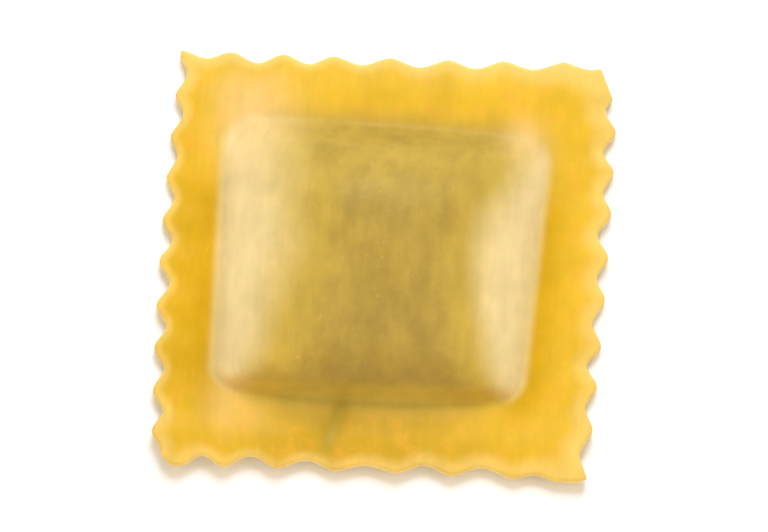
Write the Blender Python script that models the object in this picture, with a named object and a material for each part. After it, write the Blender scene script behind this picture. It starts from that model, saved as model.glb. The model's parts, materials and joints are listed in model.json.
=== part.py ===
"""A raviolo: two square sheets of egg pasta pressed together round a filling, cut with a toothed wheel.

It lies on its flat underside, filled side up. X runs to the right, Y away from the viewer and Z up,
with the origin on the table under the middle of the piece. Sizes are in millimetres until the last step.
"""

import math

import bmesh
import bpy
from mathutils import Vector, noise

MILLIMETRE = 0.001
NAME = "raviolo"

# Outline: the corners of the cut sheet, and how far each side bows out (in, when negative).
BACK_LEFT = (-24.12, 23.43)
BACK_RIGHT = (25.31, 24.44)
FRONT_RIGHT = (23.93, -23.5)
FRONT_LEFT = (-24.92, -23.9)
BACK_BOW = -0.16
FRONT_BOW = -0.26
LEFT_BOW = 0.77
RIGHT_BOW = 0.54

# Teeth of the cutting wheel: the runs from tip to tip, the depth of the notch in each, the share of the
# first and of the last run that the round lobe of the corner takes, how pointed the first and the last
# tips are (below 0 the tips are round and the notches pointed), and the cells of the sheet in a run. The
# back and the front are read from left to right, and the sides from front to back.
BACK_TEETH = {
    "runs": (5.51, 5.73, 5.45, 6.18, 6.32, 5.97, 6.61, 5.92),
    "notches": (0.75, 1.13, 0.96, 0.88, 0.95, 0.91, 0.91, 0.81),
    "lobes": (0.0, 0.0),
    "points": (-0.0, 0.41),
    "cells": 7,
}
FRONT_TEETH = {
    "runs": (7.91, 6.01, 6.34, 6.83, 6.04, 6.85, 8.14),
    "notches": (1.21, 1.29, 1.02, 0.72, 1.03, 1.07, 0.58),
    "lobes": (0.41, 0.42),
    "points": (0.2, 0.35),
    "cells": 8,
}
LEFT_TEETH = {
    "runs": (3.86, 4.78, 4.96, 4.81, 5.17, 4.8, 4.91, 4.81, 4.8, 5.14),
    "notches": (1.01, 1.18, 1.15, 1.2, 1.29, 1.23, 1.07, 0.96, 1.08, 0.98),
    "lobes": (0.0, 0.11),
    "points": (-0.19, 0.3),
    "cells": 5,
}
RIGHT_TEETH = {
    "runs": (6.01, 5.0, 4.55, 5.3, 4.7, 5.0, 4.75, 4.55, 4.75, 3.18),
    "notches": (1.08, 1.0, 1.32, 1.12, 1.09, 1.33, 1.0, 1.25, 1.21, 0.07),
    "lobes": (0.05, 0.1),
    "points": (0.11, 0.1),
    "cells": 5,
}
TEETH_REACH = 6.0

# The wheel's two runs cross at the corners, and each corner is cut off straight: the direction that the
# cut faces, in degrees from X, and how far it lies from the middle of the sheet.
CORNER_CUTS = ((118.0, 32.1), (26.4, 31.23), (-64.9, 30.95), (-142.1, 32.6))
CORNER_SOFTNESS = 0.12

# Rim: the two sheets pressed into one, thinner towards the cut. It lifts off the table and waves a
# little, and at the front it lifts more.
RIM_THICKNESS = 1.70
CUT_THICKNESS = 1.30
THINNING_WIDTH = 4.0
FLAT_HALF_WIDTH = 15.5
FLAT_HALF_DEPTH = 14.5
RIM_RISE_WIDTH = 10.0
RIM_LIFT = 0.30
FRONT_LIFT = 0.85
FRONT_BLEND = 6.0
RIM_WAVE = 0.20
SHORT_WAVES = 5.0
LONG_WAVES = 3.0
WAVE_START = 0.6

# Filled pocket: a pillow on a rounded square that leans to the right and widens towards the back. Its
# front is fuller at the corners than in the middle, so each of its shapes has a value for both.
POCKET_LEFT = -19.1
POCKET_RIGHT = 17.45
POCKET_BACK = 16.7
POCKET_FRONT = -15.0
POCKET_LEAN = 0.033
POCKET_WIDENING = 0.033
BACK_TURN = -0.02
FRONT_BULGE = 0.5
FRONT_CORNER = 3.0
BACK_CORNER = 4.5
POCKET_HEIGHT = 7.0
SIDE_FULLNESS = 2.6
SIDE_STEEPNESS = 1.10
BACK_FULLNESS = 3.4
BACK_STEEPNESS = 1.20
FRONT_FULLNESS = (8.0, 12.0)
FRONT_STEEPNESS = (0.85, 0.75)

# The hollow at the pocket's foot is narrow at the front and the sides, and wide and soft at the back.
FOOT_WIDTH = 0.9
BACK_FOOT_WIDTH = 2.4
BACK_FOOT_START = 0.55
BACK_FOOT_BLEND = 0.35

# Lumps of the filling that press through the sheet: their height, their width and the noise's layer.
LUMP_HEIGHT = 0.25
LUMP_SIZE = 7.0
LUMP_LAYER = 0.4

# Folds of the sheet: middle of the fold, half its width and length, its turn from Y, and its height.
FOLDS = (
    {"middle": (-15.8, 18.6), "across": 4.6, "along": 6.8, "turn": -4.0, "height": 0.70},
    {"middle": (-4.6, -18.2), "across": 1.1, "along": 3.6, "turn": -17.0, "height": -0.45},
    {"middle": (-17.0, -16.8), "across": 2.4, "along": 4.2, "turn": 4.0, "height": 0.40},
    {"middle": (-13.4, -20.0), "across": 1.5, "along": 3.0, "turn": 0.0, "height": 0.20},
)

FLAT_ANGLE = math.radians(0.2)
SHARP_ANGLE = math.radians(50.0)

PASTA_COLOUR = (0.84, 0.50, 0.07, 1.0)
PASTA_ROUGHNESS = 0.45


def smooth_step(value):
    """0 below 0, 1 above 1 and an even S between them."""
    value = min(max(value, 0.0), 1.0)
    return value * value * (3.0 - 2.0 * value)


def tooth_wave(phase, point):
    """How far in the cut runs, 0 at a tip and 1 in the hollow between two tips."""
    rounded = 0.5 - 0.5 * math.cos(2.0 * math.pi * phase)
    pointed = abs(math.sin(math.pi * phase)) if point > 0.0 else 1.0 - abs(math.cos(math.pi * phase))
    return rounded + (pointed - rounded) * abs(point)


class Side:
    """One side of the sheet, from its first corner to its second, with its teeth."""

    def __init__(self, corners, outward, bow, teeth):
        self.first = Vector(corners[0])
        self.second = Vector(corners[1])
        self.outward = Vector(outward)
        self.bow = bow
        self.runs = teeth["runs"]
        self.notches = teeth["notches"]
        self.lobes = teeth["lobes"]
        self.points = teeth["points"]
        self.cells = teeth["cells"]

    def steps(self):
        """How many cells of the sheet lie along this side."""
        return len(self.runs) * self.cells

    def tooth_at(self, step):
        """Which tooth a step lies in, and how far through it, from 0 to 1."""
        tooth = min(step // self.cells, len(self.runs) - 1)
        return tooth, step / self.cells - tooth

    def tips(self, step):
        """The point that a step has on the line through the tips."""
        tooth, part = self.tooth_at(step)
        share = (sum(self.runs[:tooth]) + part * self.runs[tooth]) / sum(self.runs)
        return self.first.lerp(self.second, share) + self.outward * (4.0 * self.bow * share * (1.0 - share))

    def notch(self, step):
        """How far inside the line through the tips the cut runs at a step."""
        tooth, part = self.tooth_at(step)
        last = len(self.runs) - 1
        if tooth == 0:
            part = max(part - self.lobes[0], 0.0) / (1.0 - self.lobes[0])
        elif tooth == last:
            part = min(part / (1.0 - self.lobes[1]), 1.0)
        point = self.points[0] + (self.points[1] - self.points[0]) * tooth / last
        return self.notches[tooth] * tooth_wave(part, point)


def sides():
    """The four sides, in the order back, front, left and right."""
    back = Side((BACK_LEFT, BACK_RIGHT), (0, 1), BACK_BOW, BACK_TEETH)
    front = Side((FRONT_LEFT, FRONT_RIGHT), (0, -1), FRONT_BOW, FRONT_TEETH)
    left = Side((FRONT_LEFT, BACK_LEFT), (-1, 0), LEFT_BOW, LEFT_TEETH)
    right = Side((FRONT_RIGHT, BACK_RIGHT), (1, 0), RIGHT_BOW, RIGHT_TEETH)
    return back, front, left, right


def reach(distance):
    """The part of a tooth's notch that is felt this far inside the line through the tips."""
    return max(0.0, 1.0 - distance / TEETH_REACH) ** 2


def cut_corners(point):
    """The point, pressed back to a corner's straight cut where it lies past it."""
    for degrees, distance in CORNER_CUTS:
        facing = Vector((math.cos(math.radians(degrees)), math.sin(math.radians(degrees))))
        past = point.dot(facing) - distance
        if past > 0.0:
            point = point - facing * past * (1.0 - CORNER_SOFTNESS)
    return point


def place_on_sheet(column, row, edges):
    """Where a point of the even grid goes on the cut sheet, and how thick the sheet is there."""
    back, front, left, right = edges
    across = column / back.steps()
    along = row / left.steps()
    front_point = front.tips(column)
    back_point = back.tips(column)
    left_point = left.tips(row)
    right_point = right.tips(row)
    between_corners = Vector(FRONT_LEFT).lerp(Vector(FRONT_RIGHT), across).lerp(
        Vector(BACK_LEFT).lerp(Vector(BACK_RIGHT), across), along
    )
    point = front_point.lerp(back_point, along) + left_point.lerp(right_point, across) - between_corners

    thickening = 1.0
    shift = Vector((0.0, 0.0))
    for side, step, distance in (
        (back, column, back_point.y - point.y),
        (front, column, point.y - front_point.y),
        (left, row, point.x - left_point.x),
        (right, row, right_point.x - point.x),
    ):
        notch = side.notch(step)
        shift -= side.outward * notch * reach(distance)
        thickening *= smooth_step((distance - notch * (1.0 - reach(distance))) / THINNING_WIDTH)
    thickness = CUT_THICKNESS + (RIM_THICKNESS - CUT_THICKNESS) * thickening
    return cut_corners(point + shift), thickness


def fold_height(fold, x, y):
    """The height that one fold adds to the sheet: a soft ridge, or a dent when it is negative."""
    turn = math.radians(fold["turn"])
    dx = x - fold["middle"][0]
    dy = y - fold["middle"][1]
    across = dx * math.cos(turn) + dy * math.sin(turn)
    along = dy * math.cos(turn) - dx * math.sin(turn)
    return fold["height"] * math.exp(-((across / fold["across"]) ** 2) - (along / fold["along"]) ** 2)


def slope(share, fullness, steepness):
    """The share of the pocket's height at a share of the way from its middle to its foot."""
    return (1.0 - min(share, 1.0) ** fullness) ** steepness


def pocket_height(x, y):
    """The height of the filled pocket over the rim."""
    half_width = (POCKET_RIGHT - POCKET_LEFT) / 2.0 + POCKET_WIDENING * y
    half_depth = (POCKET_BACK - POCKET_FRONT) / 2.0
    sideways = x - POCKET_LEAN * y - (POCKET_RIGHT + POCKET_LEFT) / 2.0
    to_side = min(abs(sideways) / half_width, 1.0)
    lengthways = y - POCKET_FRONT - half_depth
    if lengthways > 0.0:
        lengthways -= BACK_TURN * x
        profile = slope(max(lengthways, 0.0) / half_depth, BACK_FULLNESS, BACK_STEEPNESS)
    else:
        lengthways += FRONT_BULGE * (1.0 - to_side**2)
        fullness = FRONT_FULLNESS[0] + (FRONT_FULLNESS[1] - FRONT_FULLNESS[0]) * to_side**2
        steepness = FRONT_STEEPNESS[0] + (FRONT_STEEPNESS[1] - FRONT_STEEPNESS[0]) * to_side**2
        profile = slope(max(-lengthways, 0.0) / half_depth, fullness, steepness)
    profile *= slope(to_side, SIDE_FULLNESS, SIDE_STEEPNESS)
    # The foot runs round the corners of the square, with a small hollow instead of a hard line.
    corner = BACK_CORNER if lengthways > 0.0 else FRONT_CORNER
    past_side = abs(sideways) - half_width + corner
    past_end = abs(lengthways) - half_depth + corner
    round_corner = math.hypot(max(past_side, 0.0), max(past_end, 0.0))
    to_foot = corner - round_corner - min(max(past_side, past_end), 0.0)
    at_back = smooth_step((lengthways / half_depth - BACK_FOOT_START) / BACK_FOOT_BLEND)
    foot_width = FOOT_WIDTH + (BACK_FOOT_WIDTH - FOOT_WIDTH) * at_back
    foot = 1.0 - math.exp(-((max(to_foot, 0.0) / foot_width) ** 2))
    lumps = noise.noise(Vector((x / LUMP_SIZE, y / LUMP_SIZE, LUMP_LAYER)))
    return foot * profile * (POCKET_HEIGHT + LUMP_HEIGHT * lumps)


def underside_height(x, y):
    """The underside: flat in the middle, then a rim that lifts a little and waves along the cut."""
    beyond = math.hypot(max(0.0, abs(x) - FLAT_HALF_WIDTH), max(0.0, abs(y) - FLAT_HALF_DEPTH))
    turn = math.atan2(y, x)
    waves = math.sin(SHORT_WAVES * turn + WAVE_START) * math.cos(LONG_WAVES * turn)
    at_front = smooth_step((-y - FLAT_HALF_DEPTH) / FRONT_BLEND)
    lift = RIM_LIFT + (FRONT_LIFT - RIM_LIFT) * at_front + RIM_WAVE * waves
    return lift * smooth_step(beyond / RIM_RISE_WIDTH)


def build_mesh():
    """The closed raviolo as a bmesh, in millimetres, with its box centred over the origin."""
    edges = sides()
    columns = edges[0].steps()
    rows = edges[2].steps()
    shape = bmesh.new()
    bmesh.ops.create_grid(shape, x_segments=columns, y_segments=rows, size=1.0)
    raised = bmesh.ops.extrude_face_region(shape, geom=list(shape.faces))
    upper = {vert for vert in raised["geom"] if isinstance(vert, bmesh.types.BMVert)}
    for vert in shape.verts:
        column = round((vert.co.x + 1.0) / 2.0 * columns)
        row = round((vert.co.y + 1.0) / 2.0 * rows)
        (x, y), thickness = place_on_sheet(column, row, edges)
        z = underside_height(x, y)
        if vert in upper:
            z += thickness + pocket_height(x, y) + sum(fold_height(fold, x, y) for fold in FOLDS)
        vert.co = (x, y, z)
    bmesh.ops.recalc_face_normals(shape, faces=shape.faces)
    bmesh.ops.dissolve_limit(
        shape,
        angle_limit=FLAT_ANGLE,
        verts=[vert for vert in shape.verts if vert not in upper],
        edges=[edge for edge in shape.edges if not upper.intersection(edge.verts)],
    )
    middle = [
        (min(vert.co[axis] for vert in shape.verts) + max(vert.co[axis] for vert in shape.verts)) / 2.0
        for axis in (0, 1)
    ]
    bmesh.ops.translate(shape, vec=(-middle[0], -middle[1], 0.0), verts=shape.verts)
    return shape


def pasta_material():
    """Egg pasta: an opaque golden dough with a soft sheen."""
    material = bpy.data.materials.new("egg_pasta")
    material.use_nodes = True
    shader = material.node_tree.nodes["Principled BSDF"]
    shader.inputs["Base Color"].default_value = PASTA_COLOUR
    shader.inputs["Roughness"].default_value = PASTA_ROUGHNESS
    shader.inputs["Metallic"].default_value = 0.0
    return material


def main():
    """Clears the scene and puts the raviolo in a collection of its own."""
    for old in list(bpy.data.objects):
        bpy.data.objects.remove(old, do_unlink=True)
    collection = bpy.data.collections.new(NAME)
    bpy.context.scene.collection.children.link(collection)

    shape = build_mesh()
    bmesh.ops.scale(shape, vec=(MILLIMETRE, MILLIMETRE, MILLIMETRE), verts=shape.verts)
    mesh = bpy.data.meshes.new(NAME)
    shape.to_mesh(mesh)
    shape.free()
    mesh.shade_smooth()
    mesh.set_sharp_from_angle(angle=SHARP_ANGLE)
    mesh.materials.append(pasta_material())
    collection.objects.link(bpy.data.objects.new(NAME, mesh))


main()
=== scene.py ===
"""A raviolo of fresh egg pasta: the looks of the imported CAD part.

Two square sheets of dough are pressed together round a filling and cut with a toothed wheel. The piece
lies on its flat underside, filled side up. X runs to the right, Y to the back and Z up, with the origin
on the table under the middle of the piece. Sizes are in millimetres until the last step.
"""

from __future__ import annotations

import json
import logging
import math
from collections.abc import Iterable
from dataclasses import dataclass, field
from enum import Enum

import bmesh
import bpy
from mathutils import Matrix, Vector, kdtree, noise

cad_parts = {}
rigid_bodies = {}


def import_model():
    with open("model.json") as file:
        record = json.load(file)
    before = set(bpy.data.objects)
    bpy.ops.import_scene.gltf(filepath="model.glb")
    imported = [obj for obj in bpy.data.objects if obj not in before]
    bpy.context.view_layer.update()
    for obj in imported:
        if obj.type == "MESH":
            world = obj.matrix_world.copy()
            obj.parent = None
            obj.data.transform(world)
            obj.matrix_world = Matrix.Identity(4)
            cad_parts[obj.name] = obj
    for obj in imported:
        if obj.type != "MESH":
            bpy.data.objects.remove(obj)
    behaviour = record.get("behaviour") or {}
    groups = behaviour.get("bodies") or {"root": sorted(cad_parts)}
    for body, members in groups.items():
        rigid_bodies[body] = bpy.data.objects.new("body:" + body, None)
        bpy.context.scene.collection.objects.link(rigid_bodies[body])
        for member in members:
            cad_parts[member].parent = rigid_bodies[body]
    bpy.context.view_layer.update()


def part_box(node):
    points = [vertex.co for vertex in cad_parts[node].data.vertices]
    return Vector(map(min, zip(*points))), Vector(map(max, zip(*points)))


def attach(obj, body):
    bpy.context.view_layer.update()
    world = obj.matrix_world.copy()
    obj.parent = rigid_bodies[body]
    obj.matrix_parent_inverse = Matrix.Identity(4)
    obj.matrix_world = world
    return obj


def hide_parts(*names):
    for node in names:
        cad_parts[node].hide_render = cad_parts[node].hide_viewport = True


LOG = logging.getLogger("raviolo")

MILLIMETRE = 0.001
CAD_NODE = "raviolo"
BODY = "root"

# How many times finer the dough's mesh is than the CAD solid's, along each side of a cell.
FINENESS = 4


def linear_from_hex(code: str) -> tuple[float, float, float, float]:
    """Turns an sRGB hex colour into the linear colour that a shader takes.

    Args:
        code: Six hex digits after a hash sign.

    Returns:
        Linear red, green and blue, and an alpha of 1.
    """
    channels = [int(code[place : place + 2], 16) / 255.0 for place in (1, 3, 5)]
    red, green, blue = (c / 12.92 if c <= 0.04045 else ((c + 0.055) / 1.055) ** 2.4 for c in channels)
    return red, green, blue, 1.0


def smooth_step(value: float) -> float:
    """0 below 0, 1 above 1 and an even S between them."""
    value = min(max(value, 0.0), 1.0)
    return value * value * (3.0 - 2.0 * value)


def add_node(
    tree: bpy.types.NodeTree, kind: str, settings: dict | None = None, links: dict | None = None
) -> bpy.types.Node:
    """Adds one node with its settings and its links.

    Args:
        tree: The material's or the world's node tree.
        kind: The node's type.
        settings: Values for the node's own properties.
        links: For an input, by name or index, the socket that feeds it or the value that it keeps.

    Returns:
        The new node.
    """
    node = tree.nodes.new(kind)
    for name, value in (settings or {}).items():
        setattr(node, name, value)
    for name, value in (links or {}).items():
        if isinstance(value, bpy.types.NodeSocket):
            tree.links.new(value, node.inputs[name])
        else:
            node.inputs[name].default_value = value
    return node


@dataclass(frozen=True)
class Teeth:
    """The marks that one run of the toothed wheel leaves along a side.

    Attributes:
        runs: The distances from tip to tip, in order.
        notches: How deep the notch in each run is.
        lobes: The shares of the first and of the last run that the corners' round lobes take.
        points: How pointed the first and the last tips are: below 0 they are round, and the notches pointed.
        cells: The cells of the CAD sheet in one run.
    """

    runs: tuple[float, ...]
    notches: tuple[float, ...]
    lobes: tuple[float, float]
    points: tuple[float, float]
    cells: int


@dataclass(frozen=True)
class CutSide:
    """One side of the sheet, from its first corner to its second, with its teeth.

    Attributes:
        first: The corner that the side starts at.
        second: The corner that it ends at.
        outward: The way that the side faces.
        bow: How far its middle stands out, or in when it is negative.
        teeth: The wheel's marks.
    """

    first: tuple[float, float]
    second: tuple[float, float]
    outward: tuple[float, float]
    bow: float
    teeth: Teeth

    def steps(self) -> int:
        """How many cells of the fine sheet lie along this side."""
        return len(self.teeth.runs) * self.teeth.cells * FINENESS

    def tooth_at(self, step: int) -> tuple[int, float]:
        """Which tooth a step lies in, and how far through it, from 0 to 1."""
        cells = self.teeth.cells * FINENESS
        tooth = min(step // cells, len(self.teeth.runs) - 1)
        return tooth, step / cells - tooth

    def tips(self, step: int) -> Vector:
        """The point that a step has on the line through the tips."""
        tooth, part = self.tooth_at(step)
        runs = self.teeth.runs
        share = (sum(runs[:tooth]) + part * runs[tooth]) / sum(runs)
        bow = Vector(self.outward) * (4.0 * self.bow * share * (1.0 - share))
        return Vector(self.first).lerp(Vector(self.second), share) + bow

    def notch(self, step: int) -> float:
        """Finds how far inside the line through the tips the cut runs.

        Args:
            step: The step along the side.

        Returns:
            The distance, 0 at a tip.
        """
        tooth, part = self.tooth_at(step)
        last = len(self.teeth.runs) - 1
        first_lobe, last_lobe = self.teeth.lobes
        if tooth == 0:
            part = max(part - first_lobe, 0.0) / (1.0 - first_lobe)
        elif tooth == last:
            part = min(part / (1.0 - last_lobe), 1.0)
        point = self.teeth.points[0] + (self.teeth.points[1] - self.teeth.points[0]) * tooth / last
        even = 0.5 - 0.5 * math.cos(2.0 * math.pi * part)
        sharp = abs(math.sin(math.pi * part)) if point > 0.0 else 1.0 - abs(math.cos(math.pi * part))
        return self.teeth.notches[tooth] * (even + (sharp - even) * abs(point))


@dataclass(frozen=True)
class CornerCut:
    """The straight cut across a corner, where two runs of the wheel cross.

    Attributes:
        facing: The way that the cut faces, in degrees from X.
        distance: How far it lies from the middle of the sheet.
        softness: The share of the dough past it that the wheel leaves.
    """

    facing: float
    distance: float
    softness: float = 0.12

    def press(self, point: Vector) -> Vector:
        """The point, pressed back to the cut where it lies past it."""
        facing = Vector((math.cos(math.radians(self.facing)), math.sin(math.radians(self.facing))))
        past = point.dot(facing) - self.distance
        return point - facing * past * (1.0 - self.softness) if past > 0.0 else point


@dataclass
class CutSheet:
    """The square that the wheel cuts out of the two sheets: its outline and the thickness of its rim.

    Attributes:
        teeth_reach: How far inside the tips a notch is still felt in the layout of the sheet.
        rim_thickness: The two sheets pressed into one.
        cut_thickness: The same at the cut, where the wheel pinched it.
        thinning_width: How wide the thinner border is.
    """

    back_left: tuple[float, float] = (-24.12, 23.43)
    back_right: tuple[float, float] = (25.31, 24.44)
    front_right: tuple[float, float] = (23.93, -23.5)
    front_left: tuple[float, float] = (-24.92, -23.9)
    back_bow: float = -0.16
    front_bow: float = -0.26
    left_bow: float = 0.77
    right_bow: float = 0.54
    back_teeth: Teeth = Teeth(
        runs=(5.51, 5.73, 5.45, 6.18, 6.32, 5.97, 6.61, 5.92),
        notches=(0.75, 1.13, 0.96, 0.88, 0.95, 0.91, 0.91, 0.81),
        lobes=(0.0, 0.0),
        points=(-0.0, 0.41),
        cells=7,
    )
    front_teeth: Teeth = Teeth(
        runs=(7.91, 6.01, 6.34, 6.83, 6.04, 6.85, 8.14),
        notches=(1.21, 1.29, 1.02, 0.72, 1.03, 1.07, 0.58),
        lobes=(0.41, 0.42),
        points=(0.2, 0.35),
        cells=8,
    )
    left_teeth: Teeth = Teeth(
        runs=(3.86, 4.78, 4.96, 4.81, 5.17, 4.8, 4.91, 4.81, 4.8, 5.14),
        notches=(1.01, 1.18, 1.15, 1.2, 1.29, 1.23, 1.07, 0.96, 1.08, 0.98),
        lobes=(0.0, 0.11),
        points=(-0.19, 0.3),
        cells=5,
    )
    right_teeth: Teeth = Teeth(
        runs=(6.01, 5.0, 4.55, 5.3, 4.7, 5.0, 4.75, 4.55, 4.75, 3.18),
        notches=(1.08, 1.0, 1.32, 1.12, 1.09, 1.33, 1.0, 1.25, 1.21, 0.07),
        lobes=(0.05, 0.1),
        points=(0.11, 0.1),
        cells=5,
    )
    corner_cuts: tuple[CornerCut, ...] = (
        CornerCut(118.0, 32.1),
        CornerCut(26.4, 31.23),
        CornerCut(-64.9, 30.95),
        CornerCut(-142.1, 32.6),
    )
    teeth_reach: float = 6.0
    rim_thickness: float = 1.70
    cut_thickness: float = 1.30
    thinning_width: float = 4.0

    def __post_init__(self) -> None:
        """Lays the four sides between the corners."""
        self.back = CutSide(self.back_left, self.back_right, (0, 1), self.back_bow, self.back_teeth)
        self.front = CutSide(self.front_left, self.front_right, (0, -1), self.front_bow, self.front_teeth)
        self.left = CutSide(self.front_left, self.back_left, (-1, 0), self.left_bow, self.left_teeth)
        self.right = CutSide(self.front_right, self.back_right, (1, 0), self.right_bow, self.right_teeth)
        self.columns = self.back.steps()
        self.rows = self.left.steps()

    def place(self, column: int, row: int) -> tuple[Vector, float]:
        """Finds where a point of the even grid goes on the cut sheet.

        Args:
            column: The point's step from the left.
            row: The point's step from the front.

        Returns:
            The point, and the thickness of the rim there.
        """
        across, along = column / self.columns, row / self.rows
        front, back = self.front.tips(column), self.back.tips(column)
        left, right = self.left.tips(row), self.right.tips(row)
        front_line = Vector(self.front_left).lerp(Vector(self.front_right), across)
        back_line = Vector(self.back_left).lerp(Vector(self.back_right), across)
        point = front.lerp(back, along) + left.lerp(right, across) - front_line.lerp(back_line, along)

        thickening = 1.0
        shift = Vector((0.0, 0.0))
        for side, step, distance in (
            (self.back, column, back.y - point.y),
            (self.front, column, point.y - front.y),
            (self.left, row, point.x - left.x),
            (self.right, row, right.x - point.x),
        ):
            notch = side.notch(step)
            reach = max(0.0, 1.0 - distance / self.teeth_reach) ** 2
            shift -= Vector(side.outward) * notch * reach
            thickening *= smooth_step((distance - notch * (1.0 - reach)) / self.thinning_width)
        point += shift
        for cut in self.corner_cuts:
            point = cut.press(point)
        return point, self.cut_thickness + (self.rim_thickness - self.cut_thickness) * thickening


@dataclass(frozen=True)
class Fold:
    """A soft raised fold of the sheet, or a dent when its height is negative.

    Attributes:
        middle: Where its middle lies.
        across: Half its width.
        along: Half its length.
        turn: Its turn from Y, in degrees.
        height: How far it stands up.
        tint: How far its colour goes to the painted highlight of a raised fold or to the darker, greener tone of a
            dent, from 0 to 1.
    """

    middle: tuple[float, float]
    across: float
    along: float
    turn: float
    height: float
    tint: float

    def share(self, x: float, y: float) -> float:
        """How much of the fold is felt at a point, 1 at its middle."""
        turn = math.radians(self.turn)
        dx, dy = x - self.middle[0], y - self.middle[1]
        across = dx * math.cos(turn) + dy * math.sin(turn)
        along = dy * math.cos(turn) - dx * math.sin(turn)
        return math.exp(-((across / self.across) ** 2) - (along / self.along) ** 2)


FOLDS = (
    Fold((-15.8, 18.6), 4.6, 6.8, -4.0, 0.70, 0.72),
    Fold((-4.6, -18.2), 1.1, 3.6, -17.0, -0.45, 0.8),
    Fold((-17.0, -16.8), 2.4, 4.2, 4.0, 0.40, 0.40),
    Fold((-13.4, -20.0), 1.5, 3.0, 0.0, 0.20, 0.15),
)


@dataclass(frozen=True)
class PocketPlace:
    """A point in the pocket's own measure.

    Attributes:
        sideways: From -1 at the left foot to 1 at the right one.
        lengthways: From -1 at the front foot to 1 at the back one.
        inside: How many millimetres it lies inside the foot, negative on the rim.
        profile: The share of the full height that the pillow has there.
    """

    sideways: float
    lengthways: float
    inside: float
    profile: float


@dataclass(frozen=True)
class Pocket:
    """The filled pillow on a rounded square that leans to the right and widens towards the back.

    Attributes:
        lean: How far its middle moves to the right for each millimetre to the back.
        widening: How much wider each half gets for each millimetre to the back.
        back_turn: The turn of its back foot.
        front_bulge: How far the middle of its front foot stands out.
        front_corner: The radius of the foot's front corners.
        back_corner: The same at the back.
        front_fullness: How full the front is in its middle and at its corners.
        front_steepness: How steep the front is in its middle and at its corners.
        foot_width: The width of the hollow at the foot, at the front and the sides.
        back_foot_width: The same at the back, where it is wide and soft.
    """

    left: float = -19.1
    right: float = 17.45
    back: float = 16.7
    front: float = -15.0
    lean: float = 0.033
    widening: float = 0.033
    back_turn: float = -0.02
    front_bulge: float = 0.5
    front_corner: float = 3.0
    back_corner: float = 4.5
    height: float = 7.0
    side_fullness: float = 2.6
    side_steepness: float = 1.10
    back_fullness: float = 3.4
    back_steepness: float = 1.20
    front_fullness: tuple[float, float] = (8.0, 12.0)
    front_steepness: tuple[float, float] = (0.85, 0.75)
    foot_width: float = 0.9
    back_foot_width: float = 2.4
    back_foot_start: float = 0.55
    back_foot_blend: float = 0.35
    lump_height: float = 0.25
    lump_size: float = 7.0
    lump_layer: float = 0.4

    @staticmethod
    def slope(share: float, fullness: float, steepness: float) -> float:
        """The share of the height at a share of the way from the middle to the foot."""
        return (1.0 - min(share, 1.0) ** fullness) ** steepness

    def locate(self, x: float, y: float) -> PocketPlace:
        """Reads a point of the sheet in the pocket's own measure.

        Args:
            x: The point's place to the right.
            y: The point's place to the back.

        Returns:
            Its place in the pocket.
        """
        half_width = (self.right - self.left) / 2.0 + self.widening * y
        half_depth = (self.back - self.front) / 2.0
        sideways = x - self.lean * y - (self.right + self.left) / 2.0
        to_side = min(abs(sideways) / half_width, 1.0)
        lengthways = y - self.front - half_depth
        if lengthways > 0.0:
            lengthways -= self.back_turn * x
            share = max(lengthways, 0.0) / half_depth
            profile = self.slope(share, self.back_fullness, self.back_steepness)
        else:
            lengthways += self.front_bulge * (1.0 - to_side**2)
            share = max(-lengthways, 0.0) / half_depth
            fullness, steepness = (
                middle + (corner - middle) * to_side**2
                for middle, corner in (self.front_fullness, self.front_steepness)
            )
            profile = self.slope(share, fullness, steepness)
        profile *= self.slope(to_side, self.side_fullness, self.side_steepness)
        corner = self.back_corner if lengthways > 0.0 else self.front_corner
        past_side = abs(sideways) - half_width + corner
        past_end = abs(lengthways) - half_depth + corner
        round_corner = math.hypot(max(past_side, 0.0), max(past_end, 0.0))
        inside = corner - round_corner - min(max(past_side, past_end), 0.0)
        return PocketPlace(sideways / half_width, lengthways / half_depth, inside, profile)

    def height_at(self, place: PocketPlace, x: float, y: float) -> float:
        """Finds how high the pocket stands over the rim, with the filling's broad lumps.

        Args:
            place: The point in the pocket's own measure.
            x: Its place to the right.
            y: Its place to the back.

        Returns:
            The height, 0 outside the foot.
        """
        at_back = smooth_step((place.lengthways - self.back_foot_start) / self.back_foot_blend)
        foot_width = self.foot_width + (self.back_foot_width - self.foot_width) * at_back
        foot = 1.0 - math.exp(-((max(place.inside, 0.0) / foot_width) ** 2))
        lumps = noise.noise(Vector((x / self.lump_size, y / self.lump_size, self.lump_layer)))
        return foot * place.profile * (self.height + self.lump_height * lumps)


@dataclass(frozen=True)
class Underside:
    """The side that lies on the table: flat in the middle, with a rim that lifts a little and waves."""

    flat_half_width: float = 15.5
    flat_half_depth: float = 14.5
    rise_width: float = 10.0
    lift: float = 0.30
    front_lift: float = 0.85
    front_blend: float = 6.0
    wave: float = 0.20
    long_waves: float = 3.0
    short_waves: float = 5.0
    wave_start: float = 0.6

    def height_at(self, x: float, y: float) -> float:
        """How far the underside stands off the table at a point."""
        past_side = max(0.0, abs(x) - self.flat_half_width)
        past_end = max(0.0, abs(y) - self.flat_half_depth)
        turn = math.atan2(y, x)
        waves = math.sin(self.short_waves * turn + self.wave_start) * math.cos(self.long_waves * turn)
        at_front = smooth_step((-y - self.flat_half_depth) / self.front_blend)
        lift = self.lift + (self.front_lift - self.lift) * at_front + self.wave * waves
        return lift * smooth_step(math.hypot(past_side, past_end) / self.rise_width)


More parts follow.
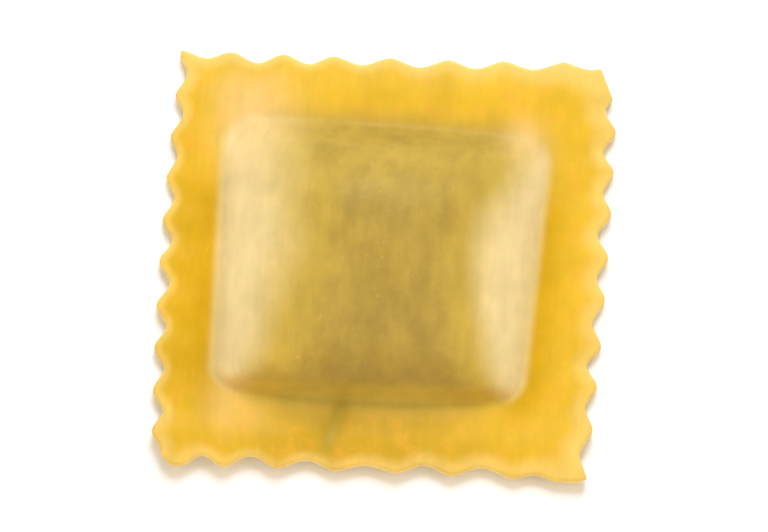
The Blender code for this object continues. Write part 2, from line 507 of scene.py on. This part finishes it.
@dataclass(frozen=True)
class Relief:
    """The low relief of rolled dough: crumbs of filling pressing up, roller streaks and a pinched cut.

    Attributes:
        crumb_size: Width of a crumb of the filling that shows through the thin sheet.
        crumb_stretch: How much longer it looks along the way the sheet was drawn.
        crumb_height: How far it presses the sheet up.
        streak_width: Width of a streak that the rollers leave.
        streak_length: Length of such a streak.
        streak_height: Height of such a streak.
        swell_size: Width of the slow swells of the rim.
        swell_height: Height of those swells.
        shoulder_width: How wide the rounding of the cut is.
        shoulder_drop: How far the upper sheet drops there.
        shoulder_rise: How far the lower sheet rises there.
        seam_depth: How deep the seam of the two sheets runs round the cut.
    """

    crumb_size: float = 1.9
    crumb_stretch: float = 1.7
    crumb_height: float = 0.06
    streak_width: float = 0.55
    streak_length: float = 4.5
    streak_height: float = 0.012
    swell_size: float = 4.0
    swell_height: float = 0.05
    shoulder_width: float = 0.55
    shoulder_drop: float = 0.34
    shoulder_rise: float = 0.22
    seam_depth: float = 0.10
    crumb_layer: float = 3.7
    streak_layer: float = 8.1
    swell_layer: float = 5.3

    def crumbs(self, x: float, y: float) -> float:
        """The crumbs of the filling under the sheet, from about -1 to 1."""
        spot = Vector((x / self.crumb_size, y / (self.crumb_size * self.crumb_stretch), self.crumb_layer))
        return noise.noise(spot) + 0.5 * noise.noise(spot * 2.0)

    def streaks(self, x: float, y: float) -> float:
        """The rollers' streaks, from about -1 to 1."""
        return noise.noise(Vector((x / self.streak_width, y / self.streak_length, self.streak_layer)))

    def swells(self, x: float, y: float) -> float:
        """The rim's slow swells, from about -1 to 1."""
        return noise.noise(Vector((x / self.swell_size, y / self.swell_size, self.swell_layer)))

    def shoulder(self, to_cut: float) -> float:
        """The share of the rounding at a distance from the cut: 1 at the cut and 0 past its width."""
        left = 1.0 - min(to_cut / self.shoulder_width, 1.0)
        return 1.0 - math.sqrt(1.0 - left * left)


class Mark(Enum):
    """The marks on the dough that its finish reads, each a share from 0 to 1 at every point."""

    FILLING = "filling_shows"
    # Painted shade: the front of the filling is laid darker, where its slope faces away from the light, over its
    # own tone.
    FILLING_SHADE = "filling_front_shade"
    # Partly the dough bridging free of the filling, partly a painted highlight of the side lights.
    LOOSE = "loose_dough_and_highlight"
    # Painted shade on the rim next to the pocket's foot.
    FOOT_SHADE = "pocket_foot_shade"
    # Painted shade that the pocket casts on the front rim.
    FRONT = "front_rim_painted_shade"
    # Painted light: an olive tone that offsets the warm front light's orange and the shade at the front foot.
    OLIVE_PAINTED_LIGHT = "olive_front_foot_painted_light"
    # Partly the thin, translucent cut, partly a painted highlight where its bevel catches the light.
    CUT = "pale_cut_and_highlight"
    # Painted highlight on the raised folds and along the pocket's back-right corner.
    RIDGE_HIGHLIGHT = "raised_fold_highlight"
    DENT = "pinched_dent"
    UNDERSIDE = "underside"


@dataclass(frozen=True)
class LooseSlope:
    """A side slope of the pocket, where the sheet leaves the filling and bridges to the rim. Its pale tone is
    partly that bare dough and partly a painted highlight of the side lights.

    Attributes:
        border: How far out the sheet leaves the filling, as a share of the half width, where it is nearest
            to the middle or, on a straight border, half-way along.
        lean: How much further in that border runs towards the back.
        bend: How much further out it runs away from its innermost point.
        innermost: The lengthways share where it lies nearest to the middle.
        softness: Half the width of the border, half-way along.
        softening: How much softer it gets towards the back.
        back_end: The lengthways share at which the bridging part ends towards the back.
        front_end: The same towards the front.
    """

    border: float
    lean: float
    bend: float
    innermost: float
    softness: float
    softening: float
    back_end: float
    front_end: float

    def share(self, sideways: float, lengthways: float) -> float:
        """How loose the sheet is at a place in the pocket's own measure, from 0 to 1."""
        border = self.border - self.lean * lengthways + self.bend * (lengthways - self.innermost) ** 2
        softness = self.softness + self.softening * lengthways
        out = smooth_step((abs(sideways) - border) / (2.0 * softness) + 0.5)
        past_end = max(lengthways - self.back_end, self.front_end - lengthways)
        return out * smooth_step(0.5 - past_end / 0.14)


@dataclass
class DoughMarks:
    """Where the sheet changes colour: over the filling, where it bridges free, at the foot and at the cut.

    Attributes:
        border_front: How far outside the foot the filling begins to show at the front, and over what width.
        border_back: The same at the back, where the border is softer.
        foot_width: How wide the painted shade next to the foot is, on the left and on the right.
        foot_softness: Half the width of the bridging sheet's border along the foot.
        foot_inset: How far inside the foot that border lies, on the left and on the right.
        filling_shade_left: The shares of the half width between which the painted shade at the front of the filling
            fades out on the left.
        filling_shade_right: The same on the right.
        filling_shade_bend: How much further out it fades away from the middle.
        filling_below: How much of the filling shows through the lower sheet.
        cut_width: How wide the paler border of the cut is, on the left and on the right: partly thin, translucent
            dough and partly a painted highlight, wider on the right where the light catches it.
        edge_width: How wide the palest edge of the cut is.
        front_shade_width: How far in front of the foot the painted shade on the front rim reaches.
        olive_width: Half the width of the olive band of painted light along the front foot.
        corner_start: Where the pale border of the cut begins to widen at the corners, as the sum of the distances
            along X and Y.
        corner_width: Over what distance it widens.
        corner_highlight: Where a painted highlight lies on the pocket's back-right corner: X, Y and radius.
        ridge_start: How far inside the cut a raised fold's painted highlight reaches its full strength.
        wander: How far the filling's border wanders, in shares of the half width.
        wander_size: The length of one such bend.
    """

    pocket: Pocket
    loose_left: LooseSlope = LooseSlope(0.585, 0.08, 0.20, -0.10, 0.24, 0.08, 1.02, -1.04)
    loose_right: LooseSlope = LooseSlope(0.645, 0.0, 0.28, -0.10, 0.15, 0.03, 1.04, -1.00)
    border_front: tuple[float, float] = (0.6, 2.2)
    border_back: tuple[float, float] = (2.1, 4.2)
    foot_width: tuple[float, float] = (7.5, 4.5)
    foot_softness: float = 0.95
    foot_inset: tuple[float, float] = (0.35, 0.3)
    filling_shade_left: tuple[float, float] = (0.06, 0.57)
    filling_shade_right: tuple[float, float] = (0.30, 0.60)
    filling_shade_bend: float = 0.25
    filling_below: float = 0.7
    cut_width: tuple[float, float] = (1.3, 2.5)
    edge_width: float = 0.5
    front_shade_width: float = 2.5
    olive_width: float = 1.6
    corner_start: float = 36.0
    corner_width: float = 9.0
    corner_highlight: tuple[float, float, float] = (15.0, 15.0, 2.4)
    ridge_start: float = 5.0
    wander: float = 0.05
    wander_size: float = 5.0
    wander_layer: float = 1.9

    def loose_and_highlight(self, place: PocketPlace, x: float, y: float) -> float:
        """Finds how free of the filling the sheet is: on the two side slopes it bridges to the rim. Its pale tone
        there is partly a painted highlight.

        Args:
            place: The point in the pocket's own measure.
            x: Its place to the right.
            y: Its place to the back.

        Returns:
            The share, 0 where the sheet lies on the filling.
        """
        bend = self.wander * noise.noise(Vector((x, y, self.wander_layer)) / self.wander_size)
        slope = self.loose_left if place.sideways < 0.0 else self.loose_right
        inset = self.foot_inset[0] if place.sideways < 0.0 else self.foot_inset[1]
        share = slope.share(abs(place.sideways) + bend, place.lengthways)
        return share * smooth_step((place.inside - inset) / (2.0 * self.foot_softness) + 0.5)

    def at(self, x: float, y: float, to_cut: float, upper: bool) -> dict[Mark, float]:
        """Gives every mark at a point.

        Args:
            x: The point's place to the right.
            y: The point's place to the back.
            to_cut: Its distance from the cut.
            upper: Whether it lies on the upper side.

        Returns:
            The share of each mark.
        """
        place = self.pocket.locate(x, y)
        at_back = smooth_step((place.lengthways - 0.3) / 0.5)
        start, width = (
            front + (back - front) * at_back for front, back in zip(self.border_front, self.border_back)
        )
        # Painted highlight on the raised folds; the dents take a darker, greener tone.
        ridge_highlight_and_speck = sum(fold.share(x, y) * fold.tint for fold in FOLDS if fold.height > 0.0)
        dent = sum(fold.share(x, y) * fold.tint for fold in FOLDS if fold.height < 0.0)
        # How far towards the front a point lies, for the painted shade on the front rim, at the front foot and at
        # the front of the filling.
        at_front = smooth_step(0.43 - 0.48 * place.lengthways)
        near, far = self.filling_shade_left if place.sideways < 0.0 else self.filling_shade_right
        to_side = smooth_step((abs(place.sideways) - 0.3) / 0.8)
        foot_width = self.foot_width[0] if place.sideways < 0.0 else self.foot_width[1]
        # Painted shade on the rim next to the pocket's foot, on the sides and fading out towards the back.
        foot_shade_share = smooth_step(1.0 - max(0.0, -place.inside) / foot_width)
        foot_shade_share *= smooth_step((abs(place.sideways) - 0.7) / 0.3) * smooth_step((0.8 - place.lengthways) / 0.5)
        bend = self.filling_shade_bend * (place.lengthways - self.loose_right.innermost) ** 2
        fading = smooth_step((abs(place.sideways) - near - bend) / (far - near))
        # The pale cut, partly a painted highlight, is wider on the right, where the light catches its bevel, and at
        # the corners.
        left_width, right_width = self.cut_width
        cut_width = left_width + (right_width - left_width) * smooth_step(0.5 + x / 30.0)
        cut_width *= 1.0 + smooth_step((abs(x) + abs(y) - self.corner_start) / self.corner_width)
        ridge_highlight_and_speck = min(ridge_highlight_and_speck, 1.0) * smooth_step(to_cut / self.ridge_start)
        # A painted highlight along the pocket's back-right corner.
        corner_x, corner_y, corner_radius = self.corner_highlight
        ridge_highlight_and_speck += 0.6 * math.exp(-(math.hypot(x - corner_x, y - corner_y) / corner_radius) ** 2)
        over_filling = smooth_step((place.inside + start) / width)
        return {
            Mark.FILLING: over_filling if upper else self.filling_below * over_filling,
            Mark.FILLING_SHADE: (0.5 + 0.5 * at_front) * (1.0 - fading) if upper else 0.0,
            Mark.OLIVE_PAINTED_LIGHT: math.exp(-((place.inside / self.olive_width) ** 2)) * at_front * (1.0 - to_side),
            Mark.FRONT: at_front * (1.0 - to_side) * smooth_step(-place.inside / self.front_shade_width),
            Mark.LOOSE: self.loose_and_highlight(place, x, y) if upper else 0.0,
            Mark.FOOT_SHADE: foot_shade_share if upper else 0.0,
            Mark.CUT: max(0.6 * smooth_step(1.0 - to_cut / cut_width), smooth_step(1.0 - to_cut / self.edge_width)),
            Mark.RIDGE_HIGHLIGHT: ridge_highlight_and_speck if upper else 0.0,
            Mark.DENT: min(dent, 1.0) if upper else 0.0,
            Mark.UNDERSIDE: 0.0 if upper else 1.0,
        }


@dataclass(frozen=True)
class EggPasta:
    """Fresh egg pasta, rolled and left to dry a little.

    Yolk gives the dough its gold. Rolling closes the surface, so it has a soft, broad sheen, and coarse
    semolina leaves a fine grain and paler specks. It is a little translucent, so the filling shows through
    where the sheet lies on it, and its thin cut looks paler. The underside keeps the flour of the board.

    Attributes:
        gold: The dough of the rim.
        front_rim_shade_gold: The rim in front, darker with the painted shade that the pocket casts on it.
        foot_shade_gold: The dough next to the pocket's foot, deeper with painted shade.
        warm_gold: Patches of the rim where the yolk is stronger.
        over_filling: The sheet where it lies on the filling, at the back of the pocket.
        over_filling_front_shade: The same at the front, darker: partly the filling, partly painted shade of the
            front slope, which faces away from the light.
        olive_foot_painted_light: An olive tone along the front foot, painted to offset the orange of the warm front
            light and the shade there.
        loose_and_highlight: The sheet where it bridges free of the filling, paler partly of itself and partly with
            a painted highlight of the side lights.
        pale_cut_and_highlight: The paler cut: partly thin, translucent dough, partly a painted highlight where its
            bevel catches the light.
        ridge_highlight_and_speck: The painted highlight on a raised fold, also the colour of the pale specks.
        dent: The pinched dent, darker and greener than the rim.
        flour: The flour on the underside.
    """

    gold: str = "#EBBE30"
    front_rim_shade_gold: str = "#D4AA2C"
    foot_shade_gold: str = "#D6A710"
    warm_gold: str = "#EBB03A"
    over_filling: str = "#D0B04A"
    over_filling_front_shade: str = "#AF9243"
    olive_foot_painted_light: str = "#D6C05A"
    loose_and_highlight: str = "#F3DD9F"
    pale_cut_and_highlight: str = "#FFDF84"
    ridge_highlight_and_speck: str = "#FCD58C"
    dent: str = "#BEA63C"
    flour: str = "#F3E4BC"
    crumb_size: float = 1.9
    crumb_stretch: float = 1.7
    streak_width: float = 0.45
    streak_length: float = 3.2
    cloud_size: float = 7.0
    patch_size: float = 2.6
    grain_size: float = 0.28
    speck_size: float = 0.55
    dust_size: float = 2.6
    grain_height: float = 0.05
    roughness: tuple[float, float] = (0.34, 0.46)

    def patterns(self, tree: bpy.types.NodeTree) -> dict[str, bpy.types.NodeSocket]:
        """Lays the dough's patterns over it, each as wide and as long as the real one is.

        Args:
            tree: The material's node tree.

        Returns:
            The share from 0 to 1 of each pattern.
        """
        coordinates = add_node(tree, "ShaderNodeTexCoord").outputs["Object"]
        made = {}
        for name, width, length, detail in (
            ("clouds", self.cloud_size, self.cloud_size, 2.0),
            ("patches", self.patch_size, self.patch_size, 2.0),
            ("crumbs", self.crumb_size, self.crumb_size * self.crumb_stretch, 3.0),
            ("streaks", self.streak_width, self.streak_length, 2.0),
            ("bands", 3.0 * self.streak_width, 4.0 * self.streak_length, 1.0),
            ("grain", self.grain_size, self.grain_size, 1.0),
            ("specks", self.speck_size, self.speck_size, 1.0),
            ("dust", self.dust_size, self.dust_size, 6.0),
        ):
            scale = [1.0 / (size * MILLIMETRE) for size in (width, length, width)]
            spread = add_node(tree, "ShaderNodeMapping", None, {"Vector": coordinates, "Scale": scale})
            texture = add_node(
                tree,
                "ShaderNodeTexNoise",
                None,
                {"Vector": spread.outputs["Vector"], "Scale": 1.0, "Detail": detail, "Roughness": 0.55},
            )
            made[name] = texture.outputs["Fac"]
        return made

    def shares(self, tree: bpy.types.NodeTree) -> dict[str, bpy.types.NodeSocket]:
        """Turns the patterns and the marks into the shares that the colours are laid on with.

        Args:
            tree: The material's node tree.

        Returns:
            Each share by its name, among them the marks and the plain grain.
        """
        made = self.patterns(tree)
        for mark in Mark:
            made[mark.value] = add_node(
                tree, "ShaderNodeAttribute", {"attribute_name": mark.value}
            ).outputs["Fac"]
        for name, pattern, low, high, first, last in (
            ("deeper", "crumbs", 0.30, 0.70, -0.16, 0.16),
            ("cloud_shade", "clouds", 0.30, 0.70, 0.955, 1.045),
            ("patch_shade", "patches", 0.30, 0.70, 0.965, 1.035),
            ("streak_shade", "streaks", 0.25, 0.75, 0.985, 1.015),
            ("band_shade", "bands", 0.30, 0.70, 0.98, 1.02),
            ("warm", "patches", 0.48, 0.72, 0.0, 0.55),
            ("speckled", "specks", 0.66, 0.80, 0.0, 0.14),
            ("dusted", "dust", 0.25, 0.75, 0.36, 0.60),
            ("sheen", "clouds", 0.30, 0.70, *self.roughness),
        ):
            made[name] = add_node(
                tree,
                "ShaderNodeMapRange",
                {"interpolation_type": "SMOOTHSTEP"},
                {"Value": made[pattern], "From Min": low, "From Max": high, "To Min": first, "To Max": last},
            ).outputs["Result"]
        for name, operation, first, second in (
            # Painted shade at the front of the filling, with the crumbs' random tone added to it.
            ("deep", "ADD", made[Mark.FILLING_SHADE.value], made["deeper"]),
            ("flour", "MULTIPLY", made[Mark.UNDERSIDE.value], made["dusted"]),
            ("broad_shade", "MULTIPLY", made["cloud_shade"], made["patch_shade"]),
            ("fine_shade", "MULTIPLY", made["streak_shade"], made["band_shade"]),
        ):
            made[name] = add_node(
                tree, "ShaderNodeMath", {"operation": operation}, {0: first, 1: second}
            ).outputs[0]
        made["shade"] = add_node(
            tree,
            "ShaderNodeMath",
            {"operation": "MULTIPLY"},
            {0: made["broad_shade"], 1: made["fine_shade"]},
        ).outputs[0]
        return made

    def material(self) -> bpy.types.Material:
        """Builds the dough's material.

        Returns:
            A material that reads the dough's marks and Object coordinates.
        """
        made = bpy.data.materials.new("fresh_egg_pasta_rolled")
        made.use_nodes = True
        tree = made.node_tree
        tree.nodes.clear()
        shares = self.shares(tree)

        # The filling's tone darkens towards the front: partly its own colour, partly painted shade of the front
        # slope.
        filling_tone_and_shade = add_node(
            tree,
            "ShaderNodeMix",
            {"data_type": "RGBA"},
            {0: shares["deep"], 6: linear_from_hex(self.over_filling), 7: linear_from_hex(self.over_filling_front_shade)},
        ).outputs[2]
        colour = linear_from_hex(self.gold)
        for share, tone in (
            # Painted shade that the pocket casts on the front rim.
            (Mark.FRONT.value, linear_from_hex(self.front_rim_shade_gold)),
            ("warm", linear_from_hex(self.warm_gold)),
            # Painted shade next to the pocket's foot.
            (Mark.FOOT_SHADE.value, linear_from_hex(self.foot_shade_gold)),
            (Mark.FILLING.value, filling_tone_and_shade),
            # Partly the bridging dough, partly a painted highlight of the side lights.
            (Mark.LOOSE.value, linear_from_hex(self.loose_and_highlight)),
            # Painted light that offsets the warm front light and the shade at the front foot.
            (Mark.OLIVE_PAINTED_LIGHT.value, linear_from_hex(self.olive_foot_painted_light)),
            # Painted highlight on the raised folds and the pocket's back-right corner.
            (Mark.RIDGE_HIGHLIGHT.value, linear_from_hex(self.ridge_highlight_and_speck)),
            (Mark.DENT.value, linear_from_hex(self.dent)),
            # Partly the translucent cut, partly a painted highlight on its bevel.
            (Mark.CUT.value, linear_from_hex(self.pale_cut_and_highlight)),
            # Pale semolina specks, in the same colour as that painted highlight.
            ("speckled", linear_from_hex(self.ridge_highlight_and_speck)),
            ("flour", linear_from_hex(self.flour)),
        ):
            colour = add_node(
                tree, "ShaderNodeMix", {"data_type": "RGBA"}, {0: shares[share], 6: colour, 7: tone}
            ).outputs[2]
        colour = add_node(
            tree, "ShaderNodeVectorMath", {"operation": "SCALE"}, {0: colour, "Scale": shares["shade"]}
        ).outputs[0]
        bump = add_node(
            tree,
            "ShaderNodeBump",
            None,
            {"Strength": 0.35, "Distance": self.grain_height * MILLIMETRE, "Height": shares["grain"]},
        )
        shader = add_node(
            tree,
            "ShaderNodeBsdfPrincipled",
            None,
            {
                "Base Color": colour,
                "Roughness": shares["sheen"],
                "Normal": bump.outputs["Normal"],
                "IOR": 1.45,
                "Specular IOR Level": 0.10,
                "Subsurface Weight": 0.12,
                "Subsurface Radius": (1.0, 0.55, 0.2),
                "Subsurface Scale": 0.9 * MILLIMETRE,
            },
        )
        add_node(tree, "ShaderNodeOutputMaterial", None, {"Surface": shader.outputs["BSDF"]})
        return made


@dataclass
class Raviolo:
    """The whole piece: one skin of dough over the filling, pressed to a rim and cut with the wheel.

    Attributes:
        wall_cuts: The rings between the lower and the upper edge of the cut.
    """

    sheet: CutSheet = field(default_factory=CutSheet)
    pocket: Pocket = Pocket()
    underside: Underside = Underside()
    relief: Relief = Relief()
    finish: EggPasta = EggPasta()
    wall_cuts: int = 3

    def upper_relief(self, place: PocketPlace, marks: dict[Mark, float], x: float, y: float) -> float:
        """The low relief that the upper side has at a point."""
        on_pocket = smooth_step(place.inside / 2.0)
        crumbs = self.relief.crumb_height * self.relief.crumbs(x, y) * marks[Mark.FILLING]
        streaks = self.relief.streak_height * self.relief.streaks(x, y) * (0.4 + 0.6 * marks[Mark.FILLING])
        swells = self.relief.swell_height * self.relief.swells(x, y) * (1.0 - on_pocket)
        return crumbs + streaks + swells

    def layout(self) -> dict[tuple[int, int], tuple[Vector, float]]:
        """Every point of the sheet by its column and row, with the rim's thickness there."""
        return {
            (column, row): self.sheet.place(column, row)
            for column in range(self.sheet.columns + 1)
            for row in range(self.sheet.rows + 1)
        }

    def cut_tree(self, layout: dict[tuple[int, int], tuple[Vector, float]]) -> kdtree.KDTree:
        """The points of the cut, to measure distances from it."""
        cut = [
            point
            for (column, row), (point, _) in layout.items()
            if column in (0, self.sheet.columns) or row in (0, self.sheet.rows)
        ]
        tree = kdtree.KDTree(len(cut))
        for index, point in enumerate(cut):
            tree.insert(point.to_3d(), index)
        tree.balance()
        return tree

    def skin(self) -> bmesh.types.BMesh:
        """Builds the closed skin from one grid of cells, extruded up and set on the sheet point by point.

        Returns:
            The skin, in millimetres, with a layer of shares for each mark.
        """
        columns, rows = self.sheet.columns, self.sheet.rows
        layout = self.layout()
        cut_tree = self.cut_tree(layout)
        painter = DoughMarks(self.pocket)

        shape = bmesh.new()
        bmesh.ops.create_grid(shape, x_segments=columns, y_segments=rows, size=1.0)
        raised = bmesh.ops.extrude_face_region(shape, geom=list(shape.faces))
        upper = [vert for vert in raised["geom"] if isinstance(vert, bmesh.types.BMVert)]
        bmesh.ops.translate(shape, vec=(0.0, 0.0, 1.0), verts=upper)
        walls = [edge for edge in shape.edges if abs(edge.verts[0].co.z - edge.verts[1].co.z) > 0.5]
        bmesh.ops.subdivide_edges(shape, edges=walls, cuts=self.wall_cuts, use_grid_fill=True)

        layers = {mark: shape.verts.layers.float.new(mark.value) for mark in Mark}
        for vert in shape.verts:
            level = vert.co.z
            column = round((vert.co.x + 1.0) / 2.0 * columns)
            row = round((vert.co.y + 1.0) / 2.0 * rows)
            point, thickness = layout[column, row]
            x, y = point
            to_cut = cut_tree.find(point.to_3d())[2]
            marks = painter.at(x, y, to_cut, level > 0.5)
            bottom = self.underside.height_at(x, y)
            top = bottom + thickness + sum(fold.height * fold.share(x, y) for fold in FOLDS)
            place = self.pocket.locate(x, y)
            top += self.pocket.height_at(place, x, y)
            shoulder = self.relief.shoulder(to_cut)
            top -= self.relief.shoulder_drop * shoulder
            bottom += self.relief.shoulder_rise * shoulder
            if 0.0 < level < 1.0:
                inner = layout[min(max(column, 1), columns - 1), min(max(row, 1), rows - 1)][0]
                seam = self.relief.seam_depth * (1.0 - abs(2.0 * level - 1.0)) ** 2
                x, y = point + (inner - point).normalized() * seam
            elif level == 1.0:
                top += self.upper_relief(place, marks, x, y)
            vert.co = (x, y, bottom + (top - bottom) * level)
            for mark, share in marks.items():
                vert[layers[mark]] = share
        bmesh.ops.recalc_face_normals(shape, faces=shape.faces)
        return shape

    def centre_on(self, shape: bmesh.types.BMesh, low: Iterable[float], high: Iterable[float]) -> None:
        """Moves the skin along the table so that its box is centred in the CAD solid's box.

        Args:
            shape: The skin, in metres.
            low: The lowest corner of the CAD box.
            high: The highest corner of the CAD box.
        """
        shift = Vector((0.0, 0.0, 0.0))
        for axis, (first, last) in enumerate(zip(list(low)[:2], list(high)[:2])):
            places = [vert.co[axis] for vert in shape.verts]
            shift[axis] = (first + last - min(places) - max(places)) / 2.0
        bmesh.ops.translate(shape, vec=shift, verts=shape.verts)

    def build(self) -> bpy.types.Object:
        """Builds and dresses the raviolo in place of the CAD solid.

        Returns:
            The finished object.
        """
        shape = self.skin()
        bmesh.ops.scale(shape, vec=(MILLIMETRE, MILLIMETRE, MILLIMETRE), verts=shape.verts)
        low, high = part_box(CAD_NODE)
        self.centre_on(shape, low, high)
        mesh = bpy.data.meshes.new("raviolo_dough")
        shape.to_mesh(mesh)
        shape.free()
        mesh.shade_smooth()
        mesh.materials.append(self.finish.material())
        dough = bpy.data.objects.new("raviolo_dough", mesh)
        bpy.context.scene.collection.objects.link(dough)
        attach(dough, BODY)
        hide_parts(CAD_NODE)
        LOG.info("%s: %d faces", dough.name, len(mesh.polygons))
        return dough


@dataclass(frozen=True)
class Softbox:
    """A square studio light that looks at the piece.

    Attributes:
        name: Its name.
        place: Where it stands, in metres.
        size: The length of its side, in metres.
        energy: Its power, in watts.
        colour: The sRGB hex colour of its light.
    """

    name: str
    place: tuple[float, float, float]
    size: float
    energy: float
    colour: str = "#FFFFFF"

    def build(self) -> bpy.types.Object:
        """Sets the light up."""
        light = bpy.data.lights.new(self.name, "AREA")
        light.shape = "SQUARE"
        light.size = self.size
        light.energy = self.energy
        light.color = linear_from_hex(self.colour)[:3]
        lamp = bpy.data.objects.new(self.name, light)
        lamp.location = self.place
        lamp.rotation_mode = "QUATERNION"
        lamp.rotation_quaternion = (-Vector(self.place)).to_track_quat("-Z", "Y")
        bpy.context.scene.collection.objects.link(lamp)
        LOG.info("light %s", self.name)
        return lamp


@dataclass
class Studio:
    """A plain white table under soft light, seen from nearly straight above.

    Attributes:
        floor_size: The length of the table's side, in metres.
        floor_tone: The table's colour.
        floor_glow: The light that the table gives of itself.
        sky_tone: The colour of the light from all round.
        sky_strength: Its strength.
        azimuth: The camera's turn to the right of the front, in degrees.
        elevation: The camera's height above the horizon, in degrees.
        distance: How far the camera stands from its target, in metres.
        lens: The camera's focal length, in millimetres.
        target: What the camera looks at, in metres.
    """

    floor_size: float = 3.0
    floor_tone: str = "#FFFFFF"
    floor_glow: float = 0.06
    sky_tone: str = "#FFE4B8"
    sky_strength: float = 0.17
    azimuth: float = 2.9
    elevation: float = 82.0
    distance: float = 0.961
    lens: float = 400.0
    sensor: float = 36.0
    target: tuple[float, float, float] = (0.0, -0.000215, 0.0015)
    softboxes: tuple[Softbox, ...] = (
        Softbox("left_softbox", (-0.42, 0.05, 0.34), 0.35, 0.66, "#FFF2DC"),
        Softbox("right_softbox", (0.40, 0.05, 0.40), 0.35, 0.64, "#FFF2DC"),
        Softbox("back_softbox", (0.02, 0.28, 0.37), 0.22, 1.74, "#E6EEFF"),
        Softbox("front_softbox", (0.0, -0.46, 0.19), 0.35, 0.98, "#FFEBD0"),
        Softbox("top_softbox", (0.0, 0.10, 0.60), 0.50, 0.40),
    )

    def build_floor(self) -> bpy.types.Object:
        """Lays the white table."""
        shape = bmesh.new()
        bmesh.ops.create_grid(shape, x_segments=1, y_segments=1, size=self.floor_size / 2.0)
        mesh = bpy.data.meshes.new("white_table")
        shape.to_mesh(mesh)
        shape.free()
        paper = bpy.data.materials.new("matt_white_paper")
        paper.use_nodes = True
        paper.node_tree.nodes.clear()
        tone = linear_from_hex(self.floor_tone)
        shader = add_node(
            paper.node_tree,
            "ShaderNodeBsdfPrincipled",
            None,
            {
                "Base Color": tone,
                "Roughness": 0.9,
                "Specular IOR Level": 0.2,
                "Emission Color": tone,
                "Emission Strength": self.floor_glow,
            },
        )
        add_node(paper.node_tree, "ShaderNodeOutputMaterial", None, {"Surface": shader.outputs["BSDF"]})
        mesh.materials.append(paper)
        floor = bpy.data.objects.new("white_table", mesh)
        bpy.context.scene.collection.objects.link(floor)
        LOG.info("floor %s", floor.name)
        return floor

    def build_sky(self) -> None:
        """Lights the scene evenly from all round."""
        world = bpy.data.worlds.new("soft_sky")
        world.use_nodes = True
        world.node_tree.nodes.clear()
        glow = add_node(
            world.node_tree,
            "ShaderNodeBackground",
            None,
            {"Color": linear_from_hex(self.sky_tone), "Strength": self.sky_strength},
        )
        add_node(world.node_tree, "ShaderNodeOutputWorld", None, {"Surface": glow.outputs["Background"]})
        bpy.context.scene.world = world

    def build_camera(self) -> bpy.types.Object:
        """Sets the camera up."""
        camera = bpy.data.cameras.new("camera")
        camera.lens = self.lens
        camera.sensor_width = self.sensor
        camera.clip_end = 10.0 * self.distance
        turn, rise = math.radians(self.azimuth), math.radians(self.elevation)
        back = Vector((math.sin(turn) * math.cos(rise), -math.cos(turn) * math.cos(rise), math.sin(rise)))
        holder = bpy.data.objects.new("camera", camera)
        holder.location = Vector(self.target) + back * self.distance
        holder.rotation_mode = "QUATERNION"
        holder.rotation_quaternion = (-back).to_track_quat("-Z", "Y")
        bpy.context.scene.collection.objects.link(holder)
        bpy.context.scene.camera = holder
        return holder

    def build(self) -> None:
        """Sets up the table, the lights and the camera."""
        bpy.context.scene.view_settings.view_transform = "Standard"
        self.build_floor()
        self.build_sky()
        for softbox in self.softboxes:
            softbox.build()
        self.build_camera()


def main() -> None:
    """Loads the CAD frame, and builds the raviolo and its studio."""
    logging.basicConfig(level=logging.INFO, format="%(name)s: %(message)s")
    for old in list(bpy.data.objects):
        bpy.data.objects.remove(old, do_unlink=True)
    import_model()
    Raviolo().build()
    Studio().build()


if __name__ == "__main__":
    main()
